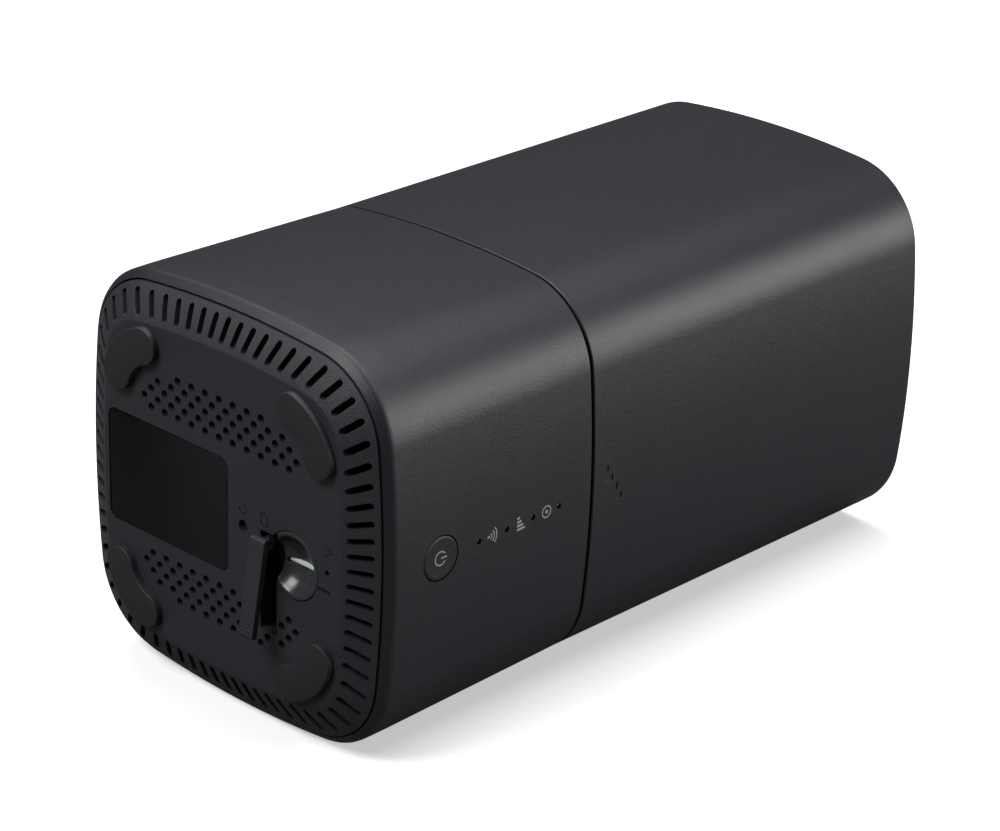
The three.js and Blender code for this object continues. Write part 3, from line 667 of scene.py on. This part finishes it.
def door_strap():
    bm = bmesh.new()
    head = [(16.8, -1.0), (16.8, -1.8), (18, -1.8), (18, 1.8), (16.8, 1.8), (16.8, 1.0)]
    prism(bm, arc(0, 0, 1.0, 90, 270, 12) + head, "y", -0.7, 0.7)
    edges = [e for e in bm.edges if all(abs(abs(v.co.y) - 0.7) < 1e-4 for v in e.verts)]
    bmesh.ops.bevel(bm, geom=edges, offset=0.18, affect="EDGES", segments=2, profile=0.5, material=-1)
    disc(bm, "y", (0, 0), 0.6, 0.6, -2.0, 2.0, 20)
    disc(bm, "x", (0, 0), 0.35, 0.35, 16.0, 16.6, 12)
    piece = finish_mesh(bm, "door_strap_soft", BLACK, "door_strap", 35, Matrix.Translation(PIVOT))
    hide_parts("door_strap")


def scoop_bezel():
    depth = 4.4
    radius = (SCOOP_RADIUS**2 + depth**2) / (2 * depth)
    floor = BASE_X + depth
    dish = []
    for i in range(1, 15):
        r = (SCOOP_RADIUS - 0.1) * i / 14
        dish.append((floor - radius + math.sqrt(radius**2 - r**2), r))
    bm = bmesh.new()
    turned(bm, "x", SCOOP, dish + [
        (BASE_X + 0.04, SCOOP_RADIUS + 0.12), (BASE_X, SCOOP_RADIUS + 0.3), (BASE_X, SCOOP_RADIUS + 0.95),
        (BASE_X + 0.05, SCOOP_RADIUS + 1.12), (BASE_X + 0.25, SCOOP_RADIUS + 1.2), (-0.9, SCOOP_RADIUS + 1.2),
    ], 96)
    piece = finish_mesh(bm, "scoop_bezel_dish", POLISHED, "tower", 40)
    cuts = bmesh.new()
    prism(cuts, rounded_rectangle(-33.35, -20.85, -6.25, -4.95, 0.3, 3), "x", BASE_X - 1, 1.0)
    cut(piece, cuts)
    cuts = bmesh.new()
    prism(cuts, rectangle(BAY["y0"] - 0.3, 0, -20, 20), "x", BASE_X - 1, 1.0)
    cut(piece, cuts)
    cuts = bmesh.new()
    latch_slot(cuts, -31.0)
    cut(piece, cuts, 0.08, 40, 40)
    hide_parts("scoop_bezel")


def sim_card():
    """The card's body with its contact pads on the side towards -Z."""
    bm = bmesh.new()
    prism(bm, [(-2.3, -33.1), (10.7, -33.1), (12.7, -31.1), (12.7, -21.1), (-2.3, -21.1)], "z", -6.0, -5.2)
    edges = list(bm.edges)
    bmesh.ops.bevel(bm, geom=edges, offset=0.12, affect="EDGES", segments=2, profile=0.5, material=-1)
    piece = finish_mesh(bm, "sim_card_body", CARD, "sim_card")
    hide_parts("sim_card")
    bm = bmesh.new()
    for i in range(2):
        for k in range(3):
            x, y = 1.6 + 5.2 * i, -30.6 + 2.6 * k
            prism(bm, rounded_rectangle(x, x + 3.6, y, y + 2.1, 0.3, 3), "z", -6.03, -5.9)
    finish_mesh(bm, "sim_card_pads", GOLD, "sim_card")


def reset_button():
    bm = bmesh.new()
    turned(bm, "x", RESET, [
        (-4.45, 0.25), (-4.48, 0.7), (-4.6, 0.95), (-4.58, 1.15), (-4.4, 1.3), (-3.32, 1.3), (-3.28, 2.1),
        (-3.2, 2.2), (-2.6, 2.2), (-2.52, 2.1), (-2.5, 1.3), (-0.3, 1.3), (-0.2, 1.2),
    ], 32)
    piece = finish_mesh(bm, "reset_button_dished", BLACK, "reset_button")
    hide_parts("reset_button")


def lenses():
    for number, x in enumerate(LIGHT_XS, start=1):
        face = -side_y(x) + 0.3
        bm = bmesh.new()
        turned(bm, "y", (x, 0.0), [
            (face, 0.12), (face + 0.03, 0.3), (face + 0.12, 0.46), (face + 0.25, 0.53), (face + 0.4, 0.55),
            (-44.5, 0.55), (-44.35, 0.5),
        ], 24)
        piece = finish_mesh(bm, f"light_lens_{number}_domed", SMOKED, "tower")
        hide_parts(f"light_lens_{number}")


def base_screws():
    for number, (y, z) in enumerate(SCREWS, start=1):
        bm = bmesh.new()
        turned(bm, "x", (y, z), [
            (-5.6, 1.2), (-5.58, 2.0), (-5.5, 2.4), (-5.35, 2.6), (-4.85, 2.6), (-4.75, 2.5), (-4.74, 1.3),
            (2.6, 1.3), (3.4, 0.6),
        ], 32)
        piece = finish_mesh(bm, f"base_screw_{number}_head", STEEL, "tower")
        cross = bmesh.new()
        prism(cross, rectangle(y - 1.5, y + 1.5, z - 0.3, z + 0.3), "x", -6.0, -4.9)
        cut(piece, cross)
        cross = bmesh.new()
        prism(cross, rectangle(y - 0.3, y + 0.3, z - 1.5, z + 1.5), "x", -6.0, -4.9)
        cut(piece, cross, 0.06, 35, 40)
        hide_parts(f"base_screw_{number}")


# ---- rear sockets ----
JACK_X = 32.0
PANEL_FACE = 48.15


def ethernet_jack(number, z):
    bm = bmesh.new()
    prism(bm, rounded_rectangle(JACK_X - 6.7, JACK_X + 6.7, z - 8, z + 8, 0.5, 4), "y", 26.2, PANEL_FACE)
    piece = finish_mesh(bm, f"ethernet_jack_{number}_shield", TIN, "tower")
    mouth = bmesh.new()
    x0, x1 = JACK_X - 4.2, JACK_X + 4.2
    tongue = [(x1, z - 3.2), (x1 + 1.4, z - 3.2), (x1 + 1.4, z + 3.2), (x1, z + 3.2)]
    outline = [(x0, z - 5.9), (x1, z - 5.9), *tongue, (x1, z + 5.9), (x0, z + 5.9)]
    prism(mouth, outline, "y", PANEL_FACE - 14, PANEL_FACE + 5)
    cut(piece, mouth, 0.18, 35, 40)
    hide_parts(f"ethernet_jack_{number}")
    bm = bmesh.new()
    for i in range(8):
        at = z + 1.02 * (i - 3.5)
        prism(bm, line((x0 + 0.35, at), (x0 + 0.75, at), 0.36), "y", PANEL_FACE - 13.9, PANEL_FACE - 3.4)
    finish_mesh(bm, f"ethernet_contacts_{number}", GOLD, "tower")
    liner = bmesh.new()
    outline = rounded_rectangle(x0 + 0.05, x1 - 0.05, z - 5.85, z + 5.85, 0.3, 3)
    prism(liner, outline, "y", PANEL_FACE - 13.9, PANEL_FACE - 13.6)
    finish_mesh(liner, f"ethernet_back_{number}", BLACK, "tower")


def port_panel():
    bm = bmesh.new()
    verts = prism(bm, rounded_rectangle(8.0, 56.0, -31.0, 31.0, 1.5, 5), "y", PANEL_FACE - 1.8, PANEL_FACE)
    piece = finish_mesh(bm, "port_panel_framed", BLACK, "tower")
    holes = bmesh.new()
    for z, width, height in ((-17.0, 16.0, 13.4), (1.0, 16.0, 13.4), (18.5, 11.0, 11.0)):
        a, b = height / 2 + 0.3, width / 2 + 0.3
        outline = rounded_rectangle(JACK_X - a, JACK_X + a, z - b, z + b, 0.7, 4)
        prism(holes, outline, "y", 40.0, 55.0)
    cut(piece, holes, 0.15, 35, 40)
    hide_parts("port_panel")


def power_inlet():
    z = 18.5
    bm = bmesh.new()
    prism(bm, rounded_rectangle(JACK_X - 5.5, JACK_X + 5.5, z - 5.5, z + 5.5, 0.8, 5), "y", 26.2, PANEL_FACE)
    piece = finish_mesh(bm, "power_inlet_barrel", BLACK, "tower")
    mouth = bmesh.new()
    disc(mouth, "y", (JACK_X, z), 3.2, 3.2, PANEL_FACE - 10, PANEL_FACE + 4, 48)
    cut(piece, mouth, 0.35, 35, 40)
    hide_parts("power_inlet")
    bm = bmesh.new()
    pin = [(-10.2, 0.8), (-1.5, 0.8), (-1.1, 0.6), (-1.0, 0.3)]
    turned(bm, "y", (JACK_X, z), [(PANEL_FACE + step, radius) for step, radius in pin], 24)
    finish_mesh(bm, "power_inlet_pin", TIN, "tower")


power_button()
side_prints()
base_prints()
label_plate()
sim_door()
door_strap()
scoop_bezel()
sim_card()
reset_button()
lenses()
base_screws()
port_panel()
ethernet_jack(1, -17.0)
ethernet_jack(2, 1.0)
power_inlet()

# ---- stage ----
def seen_by_camera(tree, glossy):
    """1 for the camera, straight or through glass, glossy for a reflection, and 0 for other light."""
    path = tree.nodes.new("ShaderNodeLightPath")
    mirrored = tree.nodes.new("ShaderNodeMath")
    mirrored.operation = "MULTIPLY"
    mirrored.inputs[1].default_value = glossy
    through = tree.nodes.new("ShaderNodeMath")
    through.operation = "MAXIMUM"
    straight = tree.nodes.new("ShaderNodeMath")
    straight.operation = "MAXIMUM"
    tree.links.new(path.outputs["Is Glossy Ray"], mirrored.inputs[0])
    tree.links.new(path.outputs["Is Transmission Ray"], through.inputs[0])
    tree.links.new(mirrored.outputs["Value"], through.inputs[1])
    tree.links.new(path.outputs["Is Camera Ray"], straight.inputs[0])
    tree.links.new(through.outputs["Value"], straight.inputs[1])
    return path, straight.outputs["Value"]


def stage():
    bm = bmesh.new()
    bmesh.ops.create_grid(bm, x_segments=1, y_segments=1, size=4.0)
    mesh = bpy.data.meshes.new("floor")
    bm.to_mesh(mesh)
    bm.free()
    floor = bpy.data.objects.new("floor", mesh)
    bpy.context.scene.collection.objects.link(floor)
    material = bpy.data.materials.new("white_floor")
    material.use_nodes = True
    tree = material.node_tree
    shader = tree.nodes["Principled BSDF"]
    seen = tree.nodes.new("ShaderNodeMix")
    seen.data_type = "RGBA"
    seen.inputs["A"].default_value = (0.05, 0.05, 0.05, 1)
    seen.inputs["B"].default_value = (0.9, 0.9, 0.9, 1)
    shader.inputs["Roughness"].default_value = 0.9
    path, straight = seen_by_camera(tree, 0.07)
    tree.links.new(straight, seen.inputs["Factor"])
    tree.links.new(seen.outputs["Result"], shader.inputs["Base Color"])
    tree.links.new(path.outputs["Is Camera Ray"], shader.inputs["Emission Strength"])
    shader.inputs["Emission Color"].default_value = (0.4, 0.4, 0.4, 1)
    mesh.materials.append(material)

    world = bpy.data.worlds.new("studio")
    bpy.context.scene.world = world
    world.use_nodes = True
    tree = world.node_tree
    back = tree.nodes["Background"]
    path, straight = seen_by_camera(tree, 0.07)
    strength = tree.nodes.new("ShaderNodeMapRange")
    strength.inputs["To Min"].default_value = 0.06
    strength.inputs["To Max"].default_value = 1.0
    tree.links.new(straight, strength.inputs["Value"])
    tree.links.new(strength.outputs["Result"], back.inputs["Strength"])
    back.inputs["Color"].default_value = (1, 1, 1, 1)


def area_light(name, spot, target, size, power):
    data = bpy.data.lights.new(name, "AREA")
    data.shape = "RECTANGLE"
    data.size, data.size_y = size
    data.energy = power
    lamp = bpy.data.objects.new(name, data)
    bpy.context.scene.collection.objects.link(lamp)
    direction = Vector(target) - Vector(spot)
    lamp.location = spot
    lamp.rotation_euler = direction.to_track_quat("-Z", "Y").to_euler()
    return lamp


def camera():
    azimuth, elevation, roll = (math.radians(a) for a in (-46.855, 23.884, 1.849))
    level_way = Vector((math.sin(azimuth), -math.cos(azimuth), 0.0))
    back = level_way * math.cos(elevation) + Vector((0, 0, math.sin(elevation)))
    right = Vector((0, 0, 1)).cross(back).normalized()
    up = back.cross(right)
    level = Matrix((right, up, back)).transposed()
    turned = level @ Matrix.Rotation(roll, 3, "Z")
    target = TOWER @ Vector((0, 0, 0)) + turned @ Vector((63.118, 21.689, 0)) * MM
    data = bpy.data.cameras.new("camera")
    data.lens = 119.14
    data.sensor_width = 36
    view = bpy.data.objects.new("camera", data)
    view.matrix_world = Matrix.Translation(target + back * 0.796366) @ turned.to_4x4()
    bpy.context.scene.collection.objects.link(view)
    bpy.context.scene.camera = view


stage()
area_light("overhead", (0.35, 0.05, 1.1), (0.1, 0, 0.05), (1.6, 0.5), 12)
area_light("front_strip", (0.9, -1.0, 0.30), (0.1, 0, 0.05), (1.2, 0.20), 11.5)
area_light("base_fill", (-0.70, 0.20, 0.95), (0, 0, 0.05), (0.6, 0.6), 11)
camera()
bpy.context.scene.view_settings.view_transform = "Standard"
